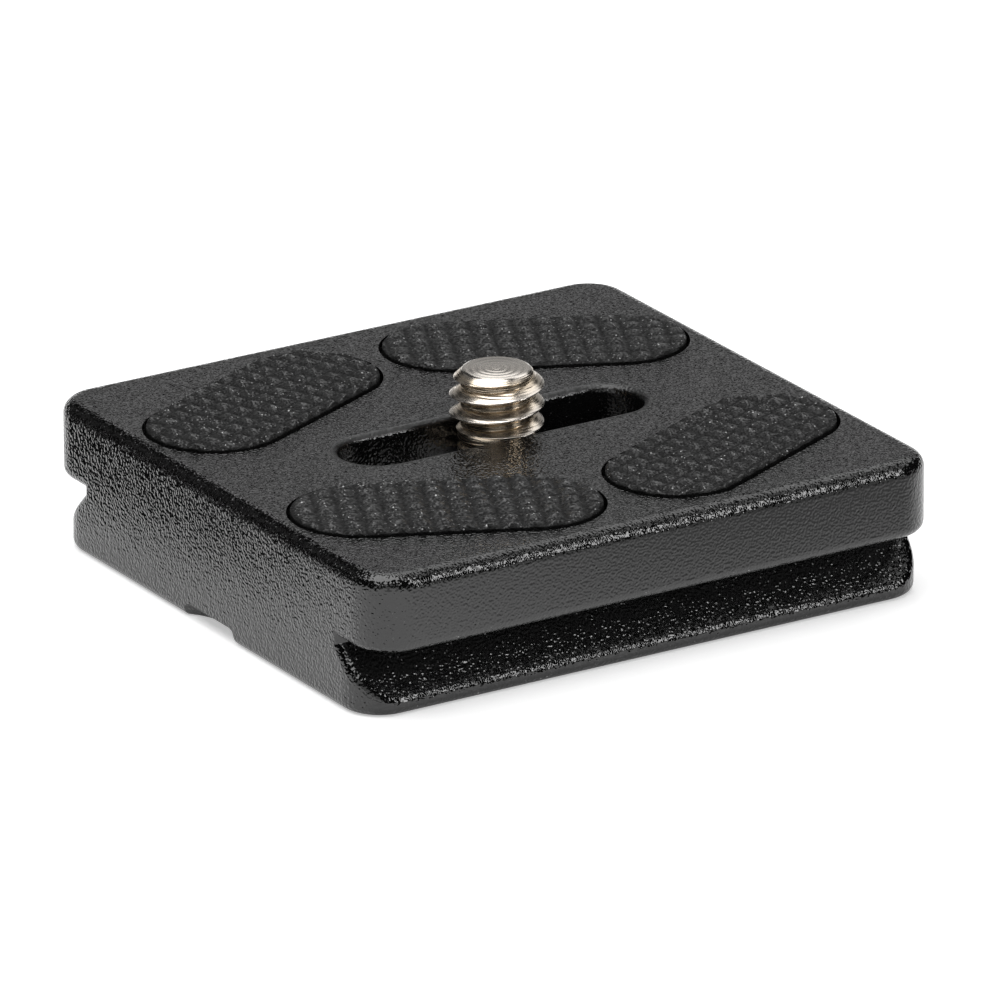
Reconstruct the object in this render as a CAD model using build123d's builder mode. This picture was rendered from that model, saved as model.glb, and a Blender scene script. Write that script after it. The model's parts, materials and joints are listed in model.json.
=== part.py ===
from build123d import *
import math
import os

# Tripod quick release plate: a dovetailed casting with four knurled grip pads let into its top,
# and a captive camera screw that slides along a slot and is turned by a folding wire D-ring.
# Millimetres. +X runs along the dovetail, +Z is up, the origin is the middle of the underside.

# Plate casting
plate_length = 43.0
plate_height = 9.9
plate_corner_radius = 2.9
top_edge_radius = 1.0

# Dovetail: a foot below the wider slab, with a V groove down each long side
foot_width = 38.7
slab_overhang = 1.2
slab_underside_height = 4.62
foot_corner_radius = 2.8
foot_bottom_radius = 0.6
foot_crest_height = 1.0
groove_depth = 3.3
neck_wall_height = 0.25
groove_edge_radius = 0.7

# Slot for the camera screw, in the web that the underside pocket leaves
slot_length = 22.5
slot_width = 5.2
slot_lip_radius = 0.5
web_thickness = 2.6
pocket_mouth_radius = 0.4

# Shallow round notch under each end
notch_radius = 4.5
notch_reach = 1.3
notch_height = 1.0
notch_wall_lean = 0.1
notch_edge_radius = 0.4

# Grip pads and the pockets that they are glued into
pad_length = 20.2
pad_width = 9.1
pad_tilt = 25.0
pad_centre_x = 10.45
pad_centre_y = 11.4
pad_gap = 0.25
pad_pocket_depth = 1.0
pad_rise = 0.45
tooth_pitch = 1.43
tooth_depth = 0.3
tooth_land = 0.16

# Camera screw
screw_rest_x = 0.4
thread_diameter = 6.2
thread_stand = 3.85
thread_start_above_plate = 0.5
tip_diameter = 4.4
tip_chamfer_height = 0.9
neck_diameter = 4.7
head_diameter = 10.0
head_bottom_height = 0.7
head_edge_chamfer = 0.4
coin_slot_width = 1.6
coin_slot_depth = 1.2
slot_end_gap = 0.3

# Washer between the screw head and the web
washer_diameter = 9.0
washer_thickness = 0.6
washer_bore_clearance = 0.08
washer_play = 0.9

# D-ring that folds about a cross hole in the screw head
ring_wire_diameter = 1.8
ring_leg_length = 2.0
ring_bend_radius = 1.2
ring_side_gap = 0.5
ring_pin_depth = 2.0
ring_pivot_height = 3.4
ring_pivot_clearance = 0.05
ring_sweep_gap = 0.5

# Places worked out from the sizes above
cut_margin = 1.0
fuzz = 0.01
neck_radius = neck_diameter / 2
head_radius = head_diameter / 2
wire_radius = ring_wire_diameter / 2
plate_width = foot_width + 2 * slab_overhang
neck_width = foot_width - 2 * groove_depth
neck_wall_foot = slab_underside_height - neck_wall_height
web_underside_height = plate_height - web_thickness
pad_seat_height = plate_height - pad_pocket_depth
washer_top_height = web_underside_height - washer_play
head_top_height = washer_top_height - washer_thickness
thread_start_height = plate_height + thread_start_above_plate
thread_tip_height = plate_height + thread_stand
thread_cone_height = (thread_diameter - neck_diameter) / 2
ring_half_width = head_radius + ring_side_gap + wire_radius
ring_reach = ring_leg_length + ring_half_width + wire_radius
screw_travel = slot_length / 2 - neck_radius - slot_end_gap
pocket_radius = ring_reach + ring_sweep_gap
pocket_length = 2 * (screw_travel + pocket_radius)
notch_centre_x = plate_length / 2 + notch_radius - notch_reach

screw_axis = Axis((screw_rest_x, 0, 0), (0, 0, 1))
screw_section = Plane(origin=(screw_rest_x, 0, 0), x_dir=(1, 0, 0), z_dir=(0, -1, 0))


def pad_plane(side_x, side_y, height):
    """The plane of one pad at a height: its X runs along the pad, and side_x, side_y pick the quarter."""
    centre = (side_x * pad_centre_x, side_y * pad_centre_y, height)
    return Plane(centre).rotated((0, 0, -side_x * side_y * pad_tilt))


pad_places = {
    "grip_pad_back_left": (-1, 1),
    "grip_pad_back_right": (1, 1),
    "grip_pad_front_left": (-1, -1),
    "grip_pad_front_right": (1, -1),
}

# The pads are punched out of knurled sheet, so the tooth nearest the middle lies off it, along and across
tooth_offsets = {
    "grip_pad_back_left": (0.33, 0.12),
    "grip_pad_back_right": (-0.43, 0.70),
    "grip_pad_front_left": (-0.60, 0.0),
    "grip_pad_front_right": (-0.10, -0.28),
}


def outer_groove_edges(casting):
    """The edges round the mouths of the two V grooves: those that two faces of a groove don't share."""
    edges = {}
    for face in casting.faces():
        middle = face.center()
        beside_neck = abs(middle.Y) > neck_width / 2 - fuzz
        if beside_neck and foot_crest_height < middle.Z < slab_underside_height + fuzz:
            for edge in face.edges():
                place = tuple(round(value, 3) for value in edge.center())
                edges.setdefault(place, []).append(edge)
    return [same_place[0] for same_place in edges.values() if len(same_place) == 1]


# Plate casting: slab and foot, then the grooves, the screw's slot and pocket, and the pads' pockets
with BuildPart() as plate:
    with BuildSketch(Plane.XY.offset(slab_underside_height)):
        RectangleRounded(plate_length, plate_width, plate_corner_radius)
    extrude(amount=plate_height - slab_underside_height)
    fillet(plate.faces().sort_by(Axis.Z)[-1].edges(), top_edge_radius)

    with BuildSketch():
        RectangleRounded(plate_length, foot_width, foot_corner_radius)
    extrude(amount=slab_underside_height)
    fillet(plate.faces().sort_by(Axis.Z)[0].edges(), foot_bottom_radius)

    # The V grooves run straight out through the rounded corners
    with BuildSketch(Plane.YZ):
        with BuildLine():
            Polyline(
                (neck_width / 2, slab_underside_height),
                (neck_width / 2, neck_wall_foot),
                (foot_width / 2, foot_crest_height),
                (foot_width / 2 + cut_margin, foot_crest_height),
                (foot_width / 2 + cut_margin, slab_underside_height),
                close=True,
            )
        make_face()
        mirror(about=Plane.YZ)
    extrude(amount=plate_length / 2 + cut_margin, both=True, mode=Mode.SUBTRACT)
    fillet(outer_groove_edges(plate), groove_edge_radius)

    # Obround pocket that the screw head and the folded D-ring turn and slide in
    with BuildSketch():
        SlotOverall(pocket_length, 2 * pocket_radius)
    extrude(amount=web_underside_height, mode=Mode.SUBTRACT)
    pocket_mouth = plate.faces().sort_by(Axis.Z)[0].inner_wires()[0].edges()
    fillet(pocket_mouth, pocket_mouth_radius)

    with BuildSketch(Plane.XY.offset(web_underside_height)):
        SlotOverall(slot_length, slot_width)
    extrude(amount=web_thickness, mode=Mode.SUBTRACT)
    slot_lip = plate.faces().sort_by(Axis.Z)[-1].inner_wires()[0].edges()
    fillet(slot_lip, slot_lip_radius)

    for side_x, side_y in pad_places.values():
        with BuildSketch(pad_plane(side_x, side_y, pad_seat_height)):
            SlotOverall(pad_length + 2 * pad_gap, pad_width + 2 * pad_gap)
        extrude(amount=pad_pocket_depth, mode=Mode.SUBTRACT)

    # The notches are turned about upright axes beyond the ends, with their mouths rolled over into the underside
    for side_x in (-1, 1):
        notch_axis = Axis((side_x * notch_centre_x, 0, 0), (0, 0, 1))
        with BuildSketch(Plane(origin=(side_x * notch_centre_x, 0, 0), x_dir=(1, 0, 0), z_dir=(0, -1, 0))):
            with BuildLine():
                mouth = notch_radius + notch_edge_radius
                ceiling = notch_radius - notch_wall_lean - notch_edge_radius
                Polyline((ceiling, notch_height), (0, notch_height), (0, 0), (mouth, 0))
                RadiusArc((mouth, 0), (notch_radius, notch_edge_radius), notch_edge_radius)
                wall_top = (notch_radius - notch_wall_lean, notch_height - notch_edge_radius)
                Line((notch_radius, notch_edge_radius), wall_top)
                RadiusArc(wall_top, (ceiling, notch_height), -notch_edge_radius)
            make_face()
        revolve(axis=notch_axis, mode=Mode.SUBTRACT)

plate.part.label = "plate_body"


def make_grip_pad(side_x, side_y, offset_along, offset_across):
    """A rubber pad with crossed V grooves that leave square pyramids, cut off by its outline."""
    with BuildPart() as pad:
        with BuildSketch(pad_plane(side_x, side_y, pad_seat_height)):
            SlotOverall(pad_length, pad_width)
        extrude(amount=pad_pocket_depth + pad_rise)
        tips = pad_plane(side_x, side_y, plate_height + pad_rise)
        half_mouth = (tooth_pitch - tooth_land) / 2
        lengthwise = (Plane(tips.origin, x_dir=tips.y_dir, z_dir=tips.x_dir), pad_width, offset_across)
        crosswise = (Plane(tips.origin, x_dir=-tips.x_dir, z_dir=tips.y_dir), pad_length, -offset_along)
        for groove_end, spread, offset in (lengthwise, crosswise):
            groove_count = 2 * math.ceil(spread / tooth_pitch / 2) + 2
            with BuildSketch(groove_end):
                with Locations((offset, 0)):
                    with GridLocations(tooth_pitch, 0, groove_count, 1):
                        Polygon((-half_mouth, 0), (half_mouth, 0), (0, -tooth_depth), align=None)
            extrude(amount=pad_length, both=True, mode=Mode.SUBTRACT)
    return pad.part


grip_pads = {}
for pad_name, (side_x, side_y) in pad_places.items():
    grip_pads[pad_name] = make_grip_pad(side_x, side_y, *tooth_offsets[pad_name])
    grip_pads[pad_name].label = pad_name


# Camera screw: head, neck that slides in the slot, and threaded end, left plain at its outer diameter
with BuildPart() as screw:
    with BuildSketch(screw_section):
        with BuildLine():
            Polyline(
                (0, head_bottom_height),
                (head_radius - head_edge_chamfer, head_bottom_height),
                (head_radius, head_bottom_height + head_edge_chamfer),
                (head_radius, head_top_height),
                (neck_radius, head_top_height),
                (neck_radius, thread_start_height - thread_cone_height),
                (thread_diameter / 2, thread_start_height),
                (thread_diameter / 2, thread_tip_height - tip_chamfer_height),
                (tip_diameter / 2, thread_tip_height),
                (0, thread_tip_height),
                close=True,
            )
        make_face()
    revolve(axis=screw_axis)
    # Coin slot across the head, square to the D-ring's hole
    with BuildSketch(Plane.XY.offset(head_bottom_height)):
        with Locations((screw_rest_x, 0)):
            Rectangle(coin_slot_width, head_diameter + cut_margin)
    extrude(amount=coin_slot_depth, mode=Mode.SUBTRACT)
    with BuildSketch(Plane.YZ.offset(screw_rest_x)):
        with Locations((0, ring_pivot_height)):
            Circle(wire_radius + ring_pivot_clearance)
    extrude(amount=head_radius + cut_margin, both=True, mode=Mode.SUBTRACT)

screw.part.label = "camera_screw"


# Washer that rides on the screw's neck, on top of the head
with BuildPart() as washer:
    with BuildSketch(Plane.XY.offset(head_top_height)):
        with Locations((screw_rest_x, 0)):
            Circle(washer_diameter / 2)
            Circle(neck_radius + washer_bore_clearance, mode=Mode.SUBTRACT)
    extrude(amount=washer_thickness)

washer.part.label = "slide_washer"


# D-ring: bent wire, folded flat towards the front, with its ends turned into the head's cross hole
with BuildPart() as ring:
    with BuildLine(Plane.XY.offset(ring_pivot_height)):
        pin_end = head_radius - ring_pin_depth
        left, right = screw_rest_x - ring_half_width, screw_rest_x + ring_half_width
        left_leg = FilletPolyline(
            (screw_rest_x - pin_end, 0), (left, 0), (left, -ring_leg_length), radius=ring_bend_radius
        )
        bow = RadiusArc((left, -ring_leg_length), (right, -ring_leg_length), -ring_half_width)
        right_leg = FilletPolyline(
            (right, -ring_leg_length), (right, 0), (screw_rest_x + pin_end, 0), radius=ring_bend_radius
        )
    with BuildSketch(Plane.YZ.offset(screw_rest_x - pin_end)):
        with Locations((0, ring_pivot_height)):
            Circle(wire_radius)
    sweep()

ring.part.label = "d_ring"


os.makedirs("parts", exist_ok=True)
export_step(plate.part, "parts/plate_body.step")
for pad_name, pad in grip_pads.items():
    export_step(pad, f"parts/{pad_name}.step")
export_step(screw.part, "parts/camera_screw.step")
export_step(washer.part, "parts/slide_washer.step")
export_step(ring.part, "parts/d_ring.step")
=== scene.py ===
import json
import math

import bmesh
import bpy
from mathutils import Matrix, Vector


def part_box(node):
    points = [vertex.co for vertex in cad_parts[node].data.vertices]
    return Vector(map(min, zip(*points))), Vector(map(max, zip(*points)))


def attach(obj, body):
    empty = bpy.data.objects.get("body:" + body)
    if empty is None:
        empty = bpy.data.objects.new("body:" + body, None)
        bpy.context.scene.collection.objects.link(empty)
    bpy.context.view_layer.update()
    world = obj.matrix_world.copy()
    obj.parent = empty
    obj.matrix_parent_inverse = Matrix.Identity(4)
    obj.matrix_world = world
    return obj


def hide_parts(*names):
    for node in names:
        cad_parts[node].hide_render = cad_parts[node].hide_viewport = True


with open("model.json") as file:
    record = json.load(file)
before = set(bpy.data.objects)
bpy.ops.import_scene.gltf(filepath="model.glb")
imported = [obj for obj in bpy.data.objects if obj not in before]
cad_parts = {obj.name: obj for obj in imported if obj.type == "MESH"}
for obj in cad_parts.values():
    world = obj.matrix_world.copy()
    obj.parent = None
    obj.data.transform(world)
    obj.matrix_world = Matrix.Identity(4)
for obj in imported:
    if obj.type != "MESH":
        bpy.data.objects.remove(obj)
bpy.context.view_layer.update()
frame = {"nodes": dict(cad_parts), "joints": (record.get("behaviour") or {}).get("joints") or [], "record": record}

MM = 0.001
weld_distance = 0.0005 * MM

# Heights and places that the pieces share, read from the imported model
plate_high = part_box("plate_body")[1]
screw_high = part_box("camera_screw")[1]
plate_top = plate_high.z
spin_joint = next(joint for joint in frame["joints"] if joint["name"] == "screw_spin")
screw_axis_x = spin_joint["pos_m"][0]
thread_mount = next(mount for mount in frame["record"]["mounts"] if mount["name"] == "camera_thread")

# The screw's thread, a quarter inch over its crests, with its turns as far apart as in the photo
thread_pitch = 1.31 * MM
thread_crest_radius = thread_mount["dims"]["r_mm"] * MM
thread_root_radius = 2.35 * MM
thread_first_crest = plate_top + 0.27 * MM
thread_start_depth = 2.3 * MM
thread_full_depth = 1.5 * MM
tip_radius = 2.2 * MM
tip_chamfer_height = 0.9 * MM
tip_edge_break = 0.09 * MM
neck_cut_height = 7.5 * MM
slot_half_width = 2.6 * MM
slot_straight_half = 8.65 * MM
slot_lip_radius = 0.5 * MM
slot_clearance = 0.05 * MM

# The rubber pads are worked only above the floor of their grooves
pad_names = ("grip_pad_back_left", "grip_pad_back_right", "grip_pad_front_left", "grip_pad_front_right")
pad_groove_height = plate_top + 0.1 * MM
pad_rim_width = 0.2 * MM
pad_skin_relief = 0.03 * MM
pad_skin_grains = 2600.0

# Soft lamps: heading and height in degrees, distance, width and height in metres, brightness
lamps = (
    ("overhead_softbox", -90, 76, 1.3, 1.35, 1.35, 3.2),
    ("back_softbox", 52, 48, 1.4, 1.3, 0.7, 1.4),
    ("back_glow", 32, 12.4, 1.6, 1.5, 0.72, 0.31),
    ("front_spot", 147, 27, 1.5, 0.26, 0.85, 6.5),
    ("front_panel", 118, 54, 1.5, 0.5, 0.4, 1.0),
    ("left_glow", -24, 27, 1.5, 0.7, 0.7, 0.13),
    ("camera_fill", -145, 16, 1.8, 1.6, 0.9, 0.7),
)
table_corners = ((-2, -2), (2, -2), (2, 2), (-2, 2))
table_height = -0.02 * MM
room_radius = 2.6
card_corners = ((-0.0312, 0.0), (-0.0266, 0.02), (-0.0225, 0.3), (-0.3, 0.3), (-0.062, 0.034), (-0.05, 0.018),
                (-0.043, 0.0))
card_height = 0.4 * MM

# The camera, fitted to the photo, in degrees and millimetres
camera_heading, camera_rise, camera_lean = -31.901, 20.816, -0.143
camera_distance = 911.95
aim_right, aim_down, aim_height = 0.548, 1.192, 5.904
sensor_width = 36.0
focal_length_pixels = 14000.0
picture_width_pixels = 1000.0


def add_node(tree, kind, inputs=None, **settings):
    """A node with its settings, whose inputs each take a value or the output of another node."""
    node = tree.nodes.new(kind)
    for name, value in settings.items():
        setattr(node, name, value)
    for key, value in (inputs or {}).items():
        if isinstance(value, bpy.types.NodeSocket):
            tree.links.new(value, node.inputs[key])
        else:
            node.inputs[key].default_value = value
    return node


def reckon(tree, operation, *values, clamp=False):
    """The result of one sum in a node tree."""
    node = add_node(tree, "ShaderNodeMath", dict(enumerate(values)), operation=operation, use_clamp=clamp)
    return node.outputs[0]


def reckon_vector(tree, operation, *values):
    """The result of one vector sum in a node tree."""
    return add_node(tree, "ShaderNodeVectorMath", dict(enumerate(values)), operation=operation).outputs


def ramp(tree, value, low, high, out_low, out_high):
    """A value carried from one range to another, held at both ends."""
    places = {"Value": value, "From Min": low, "From Max": high, "To Min": out_low, "To Max": out_high}
    return add_node(tree, "ShaderNodeMapRange", places).outputs["Result"]


def blend_colour(tree, share, first, second):
    """One colour that passes into another. The node's colour sockets come after those for numbers and vectors."""
    return add_node(tree, "ShaderNodeMix", {0: share, 6: first, 7: second}, data_type="RGBA").outputs[2]


def split_axes(tree, vector):
    return add_node(tree, "ShaderNodeSeparateXYZ", {"Vector": vector}).outputs


def grey(level):
    return (level, level, level, 1.0)


# Finishes

def make_fine_relief():
    """The small relief of a sprayed or moulded surface, its pale specks, which the materials use as dust and as
    painted glints, and its slow mottling.
    """
    mottles_per_metre = 260.0
    speck_core, speck_edge = 0.16, 0.3
    group = bpy.data.node_groups.new("fine_relief", "ShaderNodeTree")
    sockets = group.interface
    sockets.new_socket("Vector", in_out="INPUT", socket_type="NodeSocketVector")
    for name in ("Grains per Metre", "Specks per Metre", "Speck Share"):
        sockets.new_socket(name, in_out="INPUT", socket_type="NodeSocketFloat")
    for name in ("Height", "Specks", "Mottle"):
        sockets.new_socket(name, in_out="OUTPUT", socket_type="NodeSocketFloat")
    given = add_node(group, "NodeGroupInput").outputs
    place = given["Vector"]
    grain = add_node(group, "ShaderNodeTexNoise",
                     {"Vector": place, "Scale": given["Grains per Metre"], "Detail": 0.0})
    mottle = add_node(group, "ShaderNodeTexNoise", {"Vector": place, "Scale": mottles_per_metre, "Detail": 3.0})
    cells = add_node(group, "ShaderNodeTexVoronoi", {"Vector": place, "Scale": given["Specks per Metre"]}).outputs
    lot = add_node(group, "ShaderNodeSeparateColor", {"Color": cells["Color"]}).outputs
    chosen = reckon(group, "LESS_THAN", lot["Red"], given["Speck Share"])
    strength = reckon(group, "MULTIPLY", lot["Green"], lot["Green"])
    dot = reckon(group, "MULTIPLY", ramp(group, cells["Distance"], speck_core, speck_edge, 1.0, 0.0), strength)
    add_node(group, "NodeGroupOutput", {
        "Height": grain.outputs["Fac"],
        "Specks": reckon(group, "MULTIPLY", chosen, dot),
        "Mottle": mottle.outputs["Fac"],
    })
    return group


def start_material(name):
    """An empty material with its shader, its coordinates and its output."""
    material = bpy.data.materials.new(name)
    material.use_nodes = True
    tree = material.node_tree
    tree.nodes.clear()
    shader = add_node(tree, "ShaderNodeBsdfPrincipled")
    add_node(tree, "ShaderNodeOutputMaterial", {"Surface": shader.outputs["BSDF"]})
    coordinates = add_node(tree, "ShaderNodeTexCoord").outputs["Object"]
    return material, tree, shader, coordinates


def add_relief(tree, relief, coordinates, grains, specks, share):
    """The fine relief in a material, with the material's own grains and specks to the metre."""
    inputs = {"Vector": coordinates, "Grains per Metre": grains, "Specks per Metre": specks, "Speck Share": share}
    return add_node(tree, "ShaderNodeGroup", inputs, node_tree=relief).outputs


def raise_skin(tree, shader, height, distance):
    """Gives the shader the small relief of a height, which stands a distance proud."""
    bump = add_node(tree, "ShaderNodeBump", {"Strength": 1.0, "Distance": distance, "Height": height})
    tree.links.new(bump.outputs["Normal"], shader.inputs["Normal"])


def make_black_paint(relief):
    """Semi-gloss black paint on a casting, with the orange peel of a sprayed coat, coarsest on the two ends, and
    pale specks painted on as glints, most on the slopes.
    """
    peel_height = 0.083 * MM
    peel_shares = (0.92, 0.5, 0.58)  # on the ends, on the long sides, and on the top
    # How strongly pale specks are painted on as glints, on the slopes and elsewhere
    glints_on_slopes, glints_elsewhere = 3.9, 0.1
    wall_dulling, lip_dulling = 0.05, 0.34
    lip_begin, lip_full, lip_fade, lip_end = (slot_half_width + step * MM for step in (0.0, 0.12, 0.3, 0.6))
    material, tree, shader, coordinates = start_material("black_paint_orange_peel")
    coat = add_relief(tree, relief, coordinates, grains=5600.0, specks=4200.0, share=0.3)

    # The paint is duller on the slot's lip than on its walls and round it
    place = split_axes(tree, coordinates)
    past_straight = reckon(tree, "SUBTRACT", reckon(tree, "ABSOLUTE", place["X"]), slot_straight_half)
    beyond = add_node(tree, "ShaderNodeCombineXYZ",
                      {"X": reckon(tree, "MAXIMUM", past_straight, 0.0), "Y": place["Y"]})
    from_slot = reckon_vector(tree, "LENGTH", beyond.outputs["Vector"])["Value"]
    lip = ramp(tree, from_slot, lip_begin, lip_full, wall_dulling, lip_dulling)
    near_lip = ramp(tree, from_slot, lip_fade, lip_end, 1.0, 0.0)
    gloss = ramp(tree, coat["Mottle"], 0.3, 0.7, 0.06, 0.1)
    tree.links.new(reckon(tree, "MULTIPLY_ADD", lip, near_lip, gloss), shader.inputs["Roughness"])

    # Pale specks are painted into the colour as glints, most where a face slopes between the long sides and the
    # top
    facing = add_node(tree, "ShaderNodeTexCoord").outputs["Normal"]
    square = reckon_vector(tree, "MULTIPLY", facing, facing)["Vector"]
    sides = split_axes(tree, square)
    sloped = reckon(tree, "MULTIPLY", sides["Y"], sides["Z"])
    glint_share = reckon(tree, "MULTIPLY_ADD", sloped, glints_on_slopes, glints_elsewhere)
    tone = blend_colour(tree, coat["Mottle"], grey(0.0025), grey(0.0045))
    glint_speckled = blend_colour(tree, reckon(tree, "MULTIPLY", coat["Specks"], glint_share), tone, grey(0.45))
    tree.links.new(glint_speckled, shader.inputs["Base Color"])
    share = reckon_vector(tree, "DOT_PRODUCT", square, peel_shares)["Value"]
    peel = reckon(tree, "MULTIPLY", reckon(tree, "SUBTRACT", coat["Height"], 0.5), share)
    raise_skin(tree, shader, peel, peel_height)
    shader.inputs["IOR"].default_value = 1.65
    return material


def make_pad_rubber(relief):
    """Black moulded rubber with a dry skin that is smoother on the tips of its teeth, which are worn paler and
    painted lighter as a highlight, and carry pale specks of dust and painted glints.
    """
    tips_begin, tips_full = plate_top + 0.06 * MM, plate_top + 0.4 * MM
    groove_roughness, tip_smoothing = 0.84, -0.4
    skin_height = 0.11 * MM
    material, tree, shader, coordinates = start_material("moulded_pad_rubber")
    skin = add_relief(tree, relief, coordinates, grains=6200.0, specks=4200.0, share=0.45)
    tips = ramp(tree, split_axes(tree, coordinates)["Z"], tips_begin, tips_full, 0.0, 1.0)
    tone = blend_colour(tree, skin["Mottle"], grey(0.002), grey(0.004))
    # The tips are worn paler and painted lighter as a highlight, and carry pale specks of dust and painted glints
    tips_worn_and_highlighted = blend_colour(tree, reckon(tree, "MULTIPLY", tips, skin["Height"]), tone, grey(0.048))
    glint_speckled = blend_colour(tree, reckon(tree, "MULTIPLY", skin["Specks"], tips), tips_worn_and_highlighted, grey(0.8))
    tree.links.new(glint_speckled, shader.inputs["Base Color"])
    dull = reckon(tree, "ADD", ramp(tree, skin["Height"], 0.3, 0.7, -0.06, 0.06), groove_roughness)
    tree.links.new(reckon(tree, "MULTIPLY_ADD", tips, tip_smoothing, dull), shader.inputs["Roughness"])
    rubbed = ramp(tree, skin["Height"], 0.42, 0.6, 0.0, 1.0)
    tree.links.new(reckon(tree, "MULTIPLY", rubbed, tips), shader.inputs["Coat Weight"])
    raise_skin(tree, shader, skin["Height"], skin_height)
    shader.inputs["IOR"].default_value = 1.24
    shader.inputs["Coat Roughness"].default_value = 0.2
    return material


def make_plated_steel(name, relief, colour, root_shade_colour, lines_per_metre, roughness):
    """Bright plating over turned or drawn steel, with the tool's lines, and painted shade and reflection that make
    the roots of the thread darker and browner.
    """
    line_height = 0.02 * MM
    tip_fade_begin, tip_fade_end = screw_high.z - 0.3 * MM, screw_high.z - 0.05 * MM
    material, tree, shader, coordinates = start_material(name)
    centred = add_node(tree, "ShaderNodeMapping", {"Vector": coordinates, "Location": (-screw_axis_x, 0.0, 0.0)})
    centred = centred.outputs["Vector"]
    waves = {"Vector": centred, "Scale": lines_per_metre, "Distortion": 1.2, "Detail": 2.0, "Detail Scale": 0.4}
    rings = add_node(tree, "ShaderNodeTexWave", waves, wave_type="RINGS", rings_direction="Z")
    level = add_node(tree, "ShaderNodeMapping", {"Vector": coordinates, "Scale": (0.03, 0.03, 1.0)})
    skin = add_relief(tree, relief, level.outputs["Vector"], grains=14000.0, specks=1200.0, share=0.0)
    lines = reckon(tree, "MULTIPLY_ADD", rings.outputs["Fac"], 0.5, skin["Height"])
    height = split_axes(tree, centred)["Z"]
    flat = reckon_vector(tree, "MULTIPLY", centred, (1.0, 1.0, 0.0))["Vector"]
    from_axis = reckon_vector(tree, "LENGTH", flat)["Value"]
    # Painted shade and reflection: a darker, browner colour in the roots of the thread, fading out near the tip
    root = reckon(tree, "MULTIPLY", ramp(tree, from_axis, thread_root_radius, thread_crest_radius, 1.0, 0.0),
                  ramp(tree, height, tip_fade_begin, tip_fade_end, 1.0, 0.0))
    tree.links.new(blend_colour(tree, root, colour, root_shade_colour), shader.inputs["Base Color"])
    tree.links.new(ramp(tree, lines, 0.3, 1.1, roughness * 0.8, roughness * 1.25), shader.inputs["Roughness"])
    raise_skin(tree, shader, lines, line_height)
    shader.inputs["Metallic"].default_value = 1.0
    return material


# Pieces

def add_piece(name, mesh):
    piece = bpy.data.objects.new(name, mesh)
    bpy.context.scene.collection.objects.link(piece)
    return piece


def merged_copy(node, name):
    """A copy of a node's mesh with its loose triangles joined."""
    mesh = frame["nodes"][node].data.copy()
    mesh.name = name
    mesh.materials.clear()
    work = bmesh.new()
    work.from_mesh(mesh)
    bmesh.ops.remove_doubles(work, verts=work.verts, dist=weld_distance)
    work.to_mesh(mesh)
    work.free()
    return mesh


def name_inputs(tree, sockets):
    """The named inputs of a piece's tree, and its one geometry output."""
    for name, kind in sockets:
        tree.interface.new_socket(name, in_out="INPUT", socket_type=kind)
    tree.interface.new_socket("Geometry", in_out="OUTPUT", socket_type="NodeSocketGeometry")


def move_points(tree, geometry, **places):
    """A geometry with its selected points moved to a position or by an offset."""
    inputs = {"Geometry": geometry, **places}
    return add_node(tree, "GeometryNodeSetPosition", inputs).outputs["Geometry"]


def finish_tree(tree, geometry, material):
    """Shades the geometry, makes it real and gives it its material."""
    smooth = add_node(tree, "GeometryNodeSetShadeSmooth", {"Geometry": geometry})
    real = add_node(tree, "GeometryNodeRealizeInstances", {"Geometry": smooth.outputs["Geometry"]})
    covered = {"Geometry": real.outputs["Geometry"], "Material": material}
    painted = add_node(tree, "GeometryNodeSetMaterial", covered)
    add_node(tree, "NodeGroupOutput", {"Geometry": painted.outputs["Geometry"]})


def run_tree(name, tree, values, mesh=None):
    """A plain mesh made by a tree from its named values."""
    holder = add_piece(name, mesh or bpy.data.meshes.new(name))
    modifier = holder.modifiers.new(tree.name, "NODES")
    modifier.node_group = tree
    for socket in tree.interface.items_tree:
        if socket.in_out == "INPUT" and socket.name in values:
            modifier[socket.identifier] = values[socket.name]
    bpy.context.view_layer.update()
    evaluated = holder.evaluated_get(bpy.context.evaluated_depsgraph_get())
    result = bpy.data.meshes.new_from_object(evaluated)
    result.name = name
    holder.modifiers.remove(modifier)
    holder.data = result
    return holder


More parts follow.
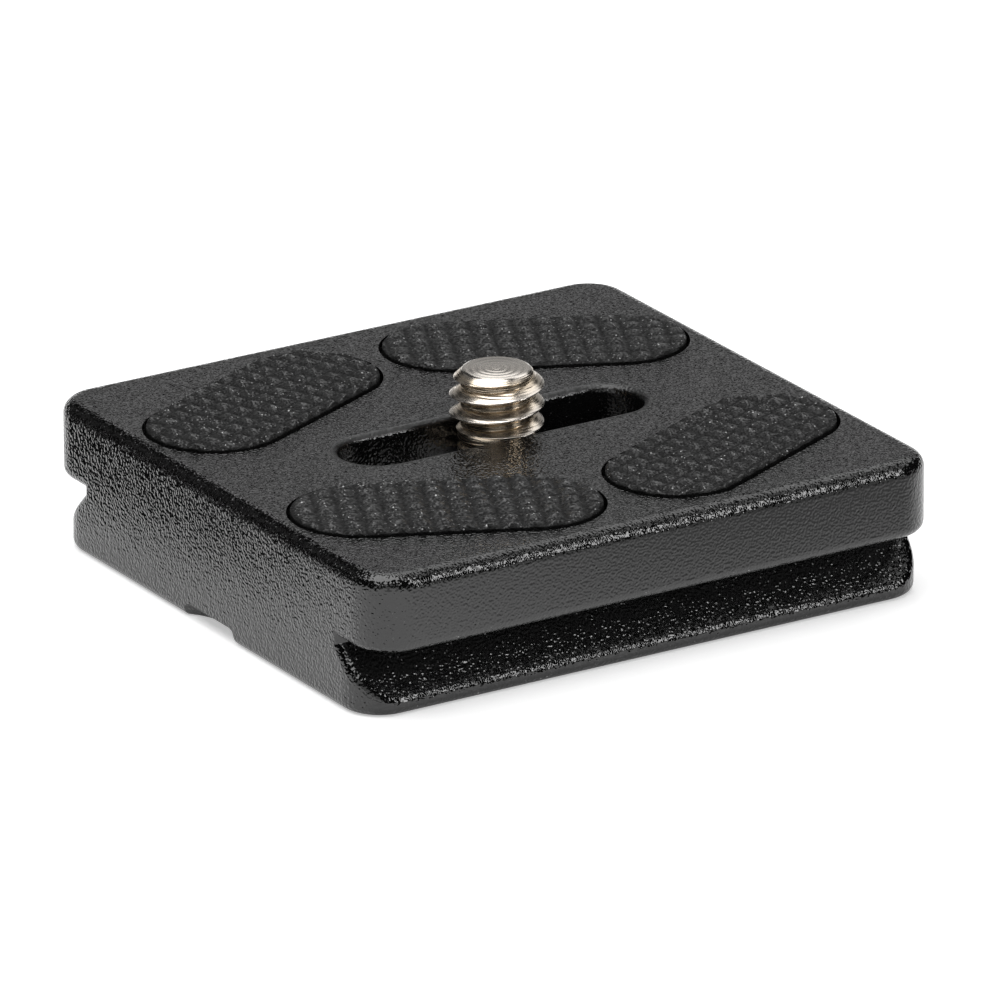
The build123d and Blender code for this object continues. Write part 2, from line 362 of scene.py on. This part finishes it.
def make_moulded_pad_tree():
    """Rounds the teeth of a pad, sinks its rim and roughens its skin, above the floor of its grooves."""
    wall_rise = 0.3
    rim_sink = 0.8
    skin_middle = 0.62
    tree = bpy.data.node_groups.new("moulded_pad", "GeometryNodeTree")
    name_inputs(tree, (
        ("Pad", "NodeSocketGeometry"), ("Splits", "NodeSocketInt"), ("Rounding", "NodeSocketInt"),
        ("Groove Height", "NodeSocketFloat"), ("Rim Width", "NodeSocketFloat"), ("Skin Relief", "NodeSocketFloat"),
        ("Grains per Metre", "NodeSocketFloat"), ("Material", "NodeSocketMaterial")))
    given = add_node(tree, "NodeGroupInput").outputs
    split = add_node(tree, "GeometryNodeSubdivideMesh", {"Mesh": given["Pad"], "Level": given["Splits"]})
    place = add_node(tree, "GeometryNodeInputPosition").outputs["Position"]
    height = split_axes(tree, place)["Z"]
    worked = reckon(tree, "GREATER_THAN", height, given["Groove Height"])
    blur = add_node(tree, "GeometryNodeBlurAttribute", data_type="FLOAT_VECTOR")
    tree.links.new(place, next(s for s in blur.inputs if s.name == "Value" and s.enabled))
    tree.links.new(given["Rounding"], blur.inputs["Iterations"])
    blurred = next(s for s in blur.outputs if s.enabled)
    rounded = move_points(tree, split.outputs["Mesh"], Selection=worked, Position=blurred)

    # The rim sinks toward the wall of the pad's pocket
    normal = add_node(tree, "GeometryNodeInputNormal").outputs["Normal"]
    upright = reckon(tree, "LESS_THAN", reckon(tree, "ABSOLUTE", split_axes(tree, normal)["Z"]), wall_rise)
    wall = add_node(tree, "GeometryNodeSeparateGeometry", {"Geometry": given["Pad"], "Selection": upright},
                    domain="FACE")
    from_wall = add_node(tree, "GeometryNodeProximity", {0: wall.outputs["Selection"]}, target_element="FACES")
    sunk = ramp(tree, from_wall.outputs["Distance"], 0.0, given["Rim Width"], rim_sink, 0.0)
    drop = reckon(tree, "MULTIPLY", reckon(tree, "SUBTRACT", given["Groove Height"], height), sunk)
    drop = add_node(tree, "ShaderNodeCombineXYZ", {"Z": drop}).outputs["Vector"]
    rimmed = move_points(tree, rounded, Selection=worked, Offset=drop)

    grain = add_node(tree, "ShaderNodeTexNoise", {"Scale": given["Grains per Metre"], "Detail": 2.0})
    lift = reckon(tree, "SUBTRACT", grain.outputs["Fac"], skin_middle)
    lift = reckon(tree, "MULTIPLY", lift, given["Skin Relief"])
    push = add_node(tree, "ShaderNodeVectorMath", {0: normal, "Scale": lift}, operation="SCALE").outputs["Vector"]
    rough = move_points(tree, rimmed, Selection=worked, Offset=push)
    finish_tree(tree, rough, given["Material"])
    return tree


def mould_grip_pads(rubber):
    tree = make_moulded_pad_tree()
    for node in pad_names:
        values = {"Splits": 3, "Rounding": 1, "Groove Height": pad_groove_height, "Rim Width": pad_rim_width,
                  "Skin Relief": pad_skin_relief, "Grains per Metre": pad_skin_grains, "Material": rubber}
        pad = run_tree("moulded_" + node, tree, values, merged_copy(node, node + "_copy"))
        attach(pad, "plate")
        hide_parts(node)


def make_thread_tree():
    """A turned and threaded end as one closed skin round a vertical axis. Its crest climbs to the right."""
    around, rows = 144, 320
    root_flat, crest_edge = 0.24, 0.96
    tip_edge_slope = 2.5
    mouth_flare = 6.0
    tree = bpy.data.node_groups.new("threaded_end", "GeometryNodeTree")
    measures = ("Axis X", "Bottom", "Top", "Pitch", "Crest Radius", "Root Radius", "First Crest", "Tip Radius",
                "Tip Chamfer", "Plate Top", "Slot Half Width", "Slot Lip", "Clearance")
    name_inputs(tree, [(name, "NodeSocketFloat") for name in measures] + [("Material", "NodeSocketMaterial")])
    given = add_node(tree, "NodeGroupInput").outputs

    def sum_of(operation, *values, clamp=False):
        return reckon(tree, operation, *values, clamp=clamp)

    sheet = add_node(tree, "GeometryNodeMeshGrid",
                     {"Size X": 1.0, "Size Y": 1.0, "Vertices X": around + 1, "Vertices Y": rows})
    place = add_node(tree, "GeometryNodeInputPosition").outputs["Position"]
    spread = split_axes(tree, place)
    turn = sum_of("ADD", spread["X"], 0.5)
    row = sum_of("MULTIPLY_ADD", spread["Y"], rows - 1.0, (rows - 1.0) / 2)
    share = sum_of("DIVIDE", sum_of("SUBTRACT", row, 1.0), rows - 3.0, clamp=True)
    height = sum_of("MULTIPLY_ADD", share, sum_of("SUBTRACT", given["Top"], given["Bottom"]), given["Bottom"])

    # The V between two turns, flat for a quarter of the pitch at the root and nearly sharp at the crest
    climb = sum_of("DIVIDE", sum_of("SUBTRACT", height, given["First Crest"]), given["Pitch"])
    phase = sum_of("FRACT", sum_of("SUBTRACT", climb, turn))
    ridge = sum_of("MULTIPLY", sum_of("ABSOLUTE", sum_of("SUBTRACT", phase, 0.5)), 2.0)
    flank = ramp(tree, ridge, root_flat, crest_edge, 0.0, 1.0)
    depth = sum_of("SUBTRACT", given["Crest Radius"], given["Root Radius"])
    start = ramp(tree, height, sum_of("SUBTRACT", given["Plate Top"], thread_start_depth),
                 sum_of("SUBTRACT", given["Plate Top"], thread_full_depth), 0.0, 1.0)
    thread = sum_of("MULTIPLY_ADD", sum_of("MULTIPLY", flank, start), depth, given["Root Radius"])

    # The turned end narrows to its tip, whose edge is broken
    slope = sum_of("DIVIDE", sum_of("SUBTRACT", given["Crest Radius"], given["Tip Radius"]), given["Tip Chamfer"])
    below_top = sum_of("SUBTRACT", given["Top"], height)
    cone = sum_of("MULTIPLY_ADD", below_top, slope, given["Tip Radius"])
    broken = sum_of("SUBTRACT", given["Tip Radius"], tip_edge_break)
    cone = sum_of("MINIMUM", cone, sum_of("MULTIPLY_ADD", below_top, tip_edge_slope, broken))

    # Inside the slot the thread runs out, so that it turns clear of the rounded lip
    above_plate = sum_of("SUBTRACT", height, given["Plate Top"])
    lip_drop = sum_of("MAXIMUM", sum_of("ADD", above_plate, given["Slot Lip"]), 0.0)
    lip_drop = sum_of("MINIMUM", lip_drop, given["Slot Lip"])
    lip_square = sum_of("SUBTRACT", sum_of("MULTIPLY", given["Slot Lip"], given["Slot Lip"]),
                        sum_of("MULTIPLY", lip_drop, lip_drop))
    lip = sum_of("SUBTRACT", sum_of("SUBTRACT", given["Slot Lip"], sum_of("SQRT", lip_square)), given["Clearance"])
    mouth = sum_of("MULTIPLY_ADD", sum_of("MAXIMUM", above_plate, 0.0), mouth_flare,
                   sum_of("ADD", given["Slot Half Width"], lip))

    # The first and the last row close the skin on the axis
    radius = sum_of("MINIMUM", sum_of("MINIMUM", thread, cone), mouth)
    open_row = sum_of("MULTIPLY", sum_of("MINIMUM", row, 1.0),
                      sum_of("MINIMUM", sum_of("SUBTRACT", rows - 1.0, row), 1.0))
    radius = sum_of("MULTIPLY", radius, sum_of("ROUND", open_row))
    angle = sum_of("MULTIPLY", turn, math.tau)
    bent = add_node(tree, "ShaderNodeCombineXYZ", {
        "X": sum_of("MULTIPLY_ADD", radius, sum_of("COSINE", angle), given["Axis X"]),
        "Y": sum_of("MULTIPLY", radius, sum_of("SINE", angle)),
        "Z": height,
    })
    wrapped = move_points(tree, sheet.outputs["Mesh"], Position=bent.outputs["Vector"])
    closed = add_node(tree, "GeometryNodeMergeByDistance", {"Geometry": wrapped, "Distance": weld_distance})
    finish_tree(tree, closed.outputs["Geometry"], given["Material"])
    return tree


def cut_below(mesh, height):
    """Keeps what is below a level and closes the cut."""
    work = bmesh.new()
    work.from_mesh(mesh)
    everything = list(work.verts) + list(work.edges) + list(work.faces)
    bmesh.ops.bisect_plane(work, geom=everything, plane_co=(0, 0, height), plane_no=(0, 0, 1), clear_outer=True)
    rim = [edge for edge in work.edges if edge.is_boundary]
    bmesh.ops.holes_fill(work, edges=rim, sides=0)
    work.to_mesh(mesh)
    work.free()


def make_camera_screw(steel):
    """The head and neck from the solid, with a threaded end above them."""
    sharp_angle = math.radians(30)
    tree = make_thread_tree()
    values = {
        "Axis X": screw_axis_x, "Bottom": neck_cut_height, "Top": screw_high.z, "Pitch": thread_pitch,
        "Crest Radius": thread_crest_radius, "Root Radius": thread_root_radius, "First Crest": thread_first_crest,
        "Tip Radius": tip_radius, "Tip Chamfer": tip_chamfer_height, "Plate Top": plate_top,
        "Slot Half Width": slot_half_width, "Slot Lip": slot_lip_radius, "Clearance": slot_clearance,
        "Material": steel,
    }
    threaded_end = run_tree("threaded_camera_screw", tree, values)
    head = merged_copy("camera_screw", "screw_head")
    cut_below(head, neck_cut_height)
    head.shade_smooth()
    head.set_sharp_from_angle(angle=sharp_angle)
    work = bmesh.new()
    work.from_mesh(threaded_end.data)
    bmesh.ops.recalc_face_normals(work, faces=work.faces)
    work.from_mesh(head)
    work.to_mesh(threaded_end.data)
    work.free()
    bpy.data.meshes.remove(head)
    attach(threaded_end, "screw")
    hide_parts("camera_screw")


def paint_node(node, material):
    """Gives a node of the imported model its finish."""
    mesh = frame["nodes"][node].data
    mesh.materials.clear()
    mesh.materials.append(material)


# Studio

def toward(heading, height):
    """A direction from the plate: the heading turns right from the back edge, and both are in degrees."""
    turn, tilt = math.radians(heading), math.radians(height)
    return Vector((math.sin(turn) * math.cos(tilt), math.cos(turn) * math.cos(tilt), math.sin(tilt)))


def hang_softbox(name, direction, distance, width, tall, brightness):
    """A soft lamp that faces the plate. Its brightness is what a mirror in the plate's place would show."""
    light = bpy.data.lights.new(name, "AREA")
    light.shape = "RECTANGLE"
    light.size = width
    light.size_y = tall
    light.energy = brightness * math.pi * width * tall
    lamp = bpy.data.objects.new(name, light)
    lamp.location = direction * distance
    lamp.rotation_mode = "QUATERNION"
    lamp.rotation_quaternion = direction.to_track_quat("Z", "Y")
    lamp.visible_camera = False
    bpy.context.scene.collection.objects.link(lamp)


def make_table_white():
    """A white table, a little brighter to the eye and in reflections than the light on it, and open from below.

    Its reflection is plain in the plate's own shadow, and falls off on the table to the front right.
    """
    shadow_begin, shadow_end = -3.0 * MM, 0.5 * MM
    right_begin, right_end = -14.0 * MM, 17.0 * MM
    front_begin, front_end = -24.0 * MM, -42.0 * MM
    white, fallen_off = 0.86, 0.47
    seen_lift, mirrored_lift = 0.45, 0.44
    material = bpy.data.materials.new("table_white")
    material.use_nodes = True
    tree = material.node_tree
    tree.nodes.clear()
    path = add_node(tree, "ShaderNodeLightPath").outputs
    place = split_axes(tree, add_node(tree, "ShaderNodeTexCoord").outputs["Object"])
    past_end = reckon(tree, "SUBTRACT", reckon(tree, "ABSOLUTE", place["X"]), plate_high.x)
    past_side = reckon(tree, "SUBTRACT", reckon(tree, "ABSOLUTE", place["Y"]), plate_high.y)
    clear_of_plate = ramp(tree, reckon(tree, "MAXIMUM", past_end, past_side), shadow_begin, shadow_end, 0.0, 1.0)
    right = ramp(tree, place["X"], right_begin, right_end, 0.0, 1.0)
    front = ramp(tree, place["Y"], front_begin, front_end, 0.0, 1.0)
    fall_off = reckon(tree, "MULTIPLY", right, front)
    mirrored = reckon(tree, "MAXIMUM", path["Is Glossy Ray"], path["Is Transmission Ray"])
    shade = blend_colour(tree, reckon(tree, "MULTIPLY", mirrored, fall_off), grey(white), grey(fallen_off))
    even = reckon(tree, "MULTIPLY", clear_of_plate, reckon(tree, "SUBTRACT", 1.0, fall_off))
    lift = reckon(tree, "MULTIPLY", reckon(tree, "MULTIPLY", mirrored, even), mirrored_lift)
    lift = reckon(tree, "MULTIPLY_ADD", path["Is Camera Ray"], seen_lift, lift)
    matt = add_node(tree, "ShaderNodeBsdfDiffuse", {"Color": shade})
    glow = add_node(tree, "ShaderNodeEmission", {"Color": grey(1.0), "Strength": lift})
    lit = add_node(tree, "ShaderNodeAddShader", {0: matt.outputs["BSDF"], 1: glow.outputs["Emission"]})
    clear = add_node(tree, "ShaderNodeBsdfTransparent")
    underneath = add_node(tree, "ShaderNodeNewGeometry").outputs["Backfacing"]
    sides = {0: underneath, 1: lit.outputs["Shader"], 2: clear.outputs["BSDF"]}
    mix = add_node(tree, "ShaderNodeMixShader", sides)
    add_node(tree, "ShaderNodeOutputMaterial", {"Surface": mix.outputs["Shader"]})
    return material


def make_dark_cloth():
    material = bpy.data.materials.new("dark_cloth")
    material.use_nodes = True
    shader = material.node_tree.nodes["Principled BSDF"]
    shader.inputs["Base Color"].default_value = grey(0.012)
    shader.inputs["Roughness"].default_value = 1.0
    shader.inputs["Specular IOR Level"].default_value = 0.0
    return material


def flat_sheet(name, corners, height, material):
    mesh = bpy.data.meshes.new(name)
    mesh.from_pydata([(x, y, height) for x, y in corners], [], [range(len(corners))])
    mesh.materials.append(material)
    sheet = add_piece(name, mesh)
    return sheet


def set_up_studio():
    flat_sheet("white_table", table_corners, table_height, make_table_white())
    dark = make_dark_cloth()

    # The room round the table is dark, so that only the lamps and the table show in the paint
    mesh = bpy.data.meshes.new("dark_room")
    work = bmesh.new()
    bmesh.ops.create_uvsphere(work, u_segments=48, v_segments=24, radius=room_radius)
    bmesh.ops.reverse_faces(work, faces=work.faces)
    work.to_mesh(mesh)
    work.free()
    mesh.materials.append(dark)
    room = add_piece("dark_room", mesh)
    room.visible_camera = False

    # A dark card lies on the table behind the left end, and shows only in reflections
    card = flat_sheet("dark_card", card_corners, card_height, dark)
    card.visible_camera = False
    card.visible_diffuse = False
    card.visible_shadow = False

    for name, heading, height, distance, width, tall, brightness in lamps:
        hang_softbox(name, toward(heading, height), distance, width, tall, brightness)

    world = bpy.data.worlds.new("studio")
    world.use_nodes = True
    tree = world.node_tree
    tree.nodes.clear()
    background = add_node(tree, "ShaderNodeBackground", {"Color": grey(1.0), "Strength": 1.0})
    add_node(tree, "ShaderNodeOutputWorld", {"Surface": background.outputs["Background"]})
    bpy.context.scene.world = world


def set_up_camera():
    """A long lens from the front left, a little above the plate."""
    heading, rise, lean = (math.radians(angle) for angle in (camera_heading, camera_rise, camera_lean))
    back = Vector((math.sin(heading) * math.cos(rise), -math.cos(heading) * math.cos(rise), math.sin(rise)))
    right = Vector((math.cos(heading), math.sin(heading), 0.0))
    up = back.cross(right)
    target = right * aim_right * MM - up * aim_down * MM + Vector((0.0, 0.0, aim_height * MM))
    eye = target + back * camera_distance * MM
    across = right * math.cos(lean) + up * math.sin(lean)
    upright = up * math.cos(lean) - right * math.sin(lean)
    lens = bpy.data.cameras.new("photo_camera")
    lens.sensor_width = sensor_width
    lens.lens = sensor_width * focal_length_pixels / picture_width_pixels
    lens.clip_start = 0.01
    lens.clip_end = 10.0
    camera = bpy.data.objects.new("photo_camera", lens)
    axes = Matrix((across, upright, back)).transposed().to_4x4()
    camera.matrix_world = Matrix.Translation(eye) @ axes
    bpy.context.scene.collection.objects.link(camera)
    bpy.context.scene.camera = camera


set_up_camera()
set_up_studio()

fine_relief = make_fine_relief()
black_paint = make_black_paint(fine_relief)
pad_rubber = make_pad_rubber(fine_relief)
screw_nickel = make_plated_steel(
    "turned_screw_nickel", fine_relief, colour=(0.76, 0.71, 0.65, 1.0), root_shade_colour=(0.74, 0.62, 0.47, 1.0),
    lines_per_metre=700.0, roughness=0.23)
washer_steel = make_plated_steel(
    "faced_washer_steel", fine_relief, colour=(0.66, 0.65, 0.63, 1.0), root_shade_colour=(0.6, 0.59, 0.57, 1.0),
    lines_per_metre=1800.0, roughness=0.24)
ring_steel = make_plated_steel(
    "drawn_ring_steel", fine_relief, colour=(0.68, 0.67, 0.64, 1.0), root_shade_colour=(0.62, 0.61, 0.58, 1.0),
    lines_per_metre=900.0, roughness=0.2)

paint_node("plate_body", black_paint)
paint_node("slide_washer", washer_steel)
paint_node("d_ring", ring_steel)
mould_grip_pads(pad_rubber)
make_camera_screw(screw_nickel)

bpy.context.scene.view_settings.view_transform = "Standard"
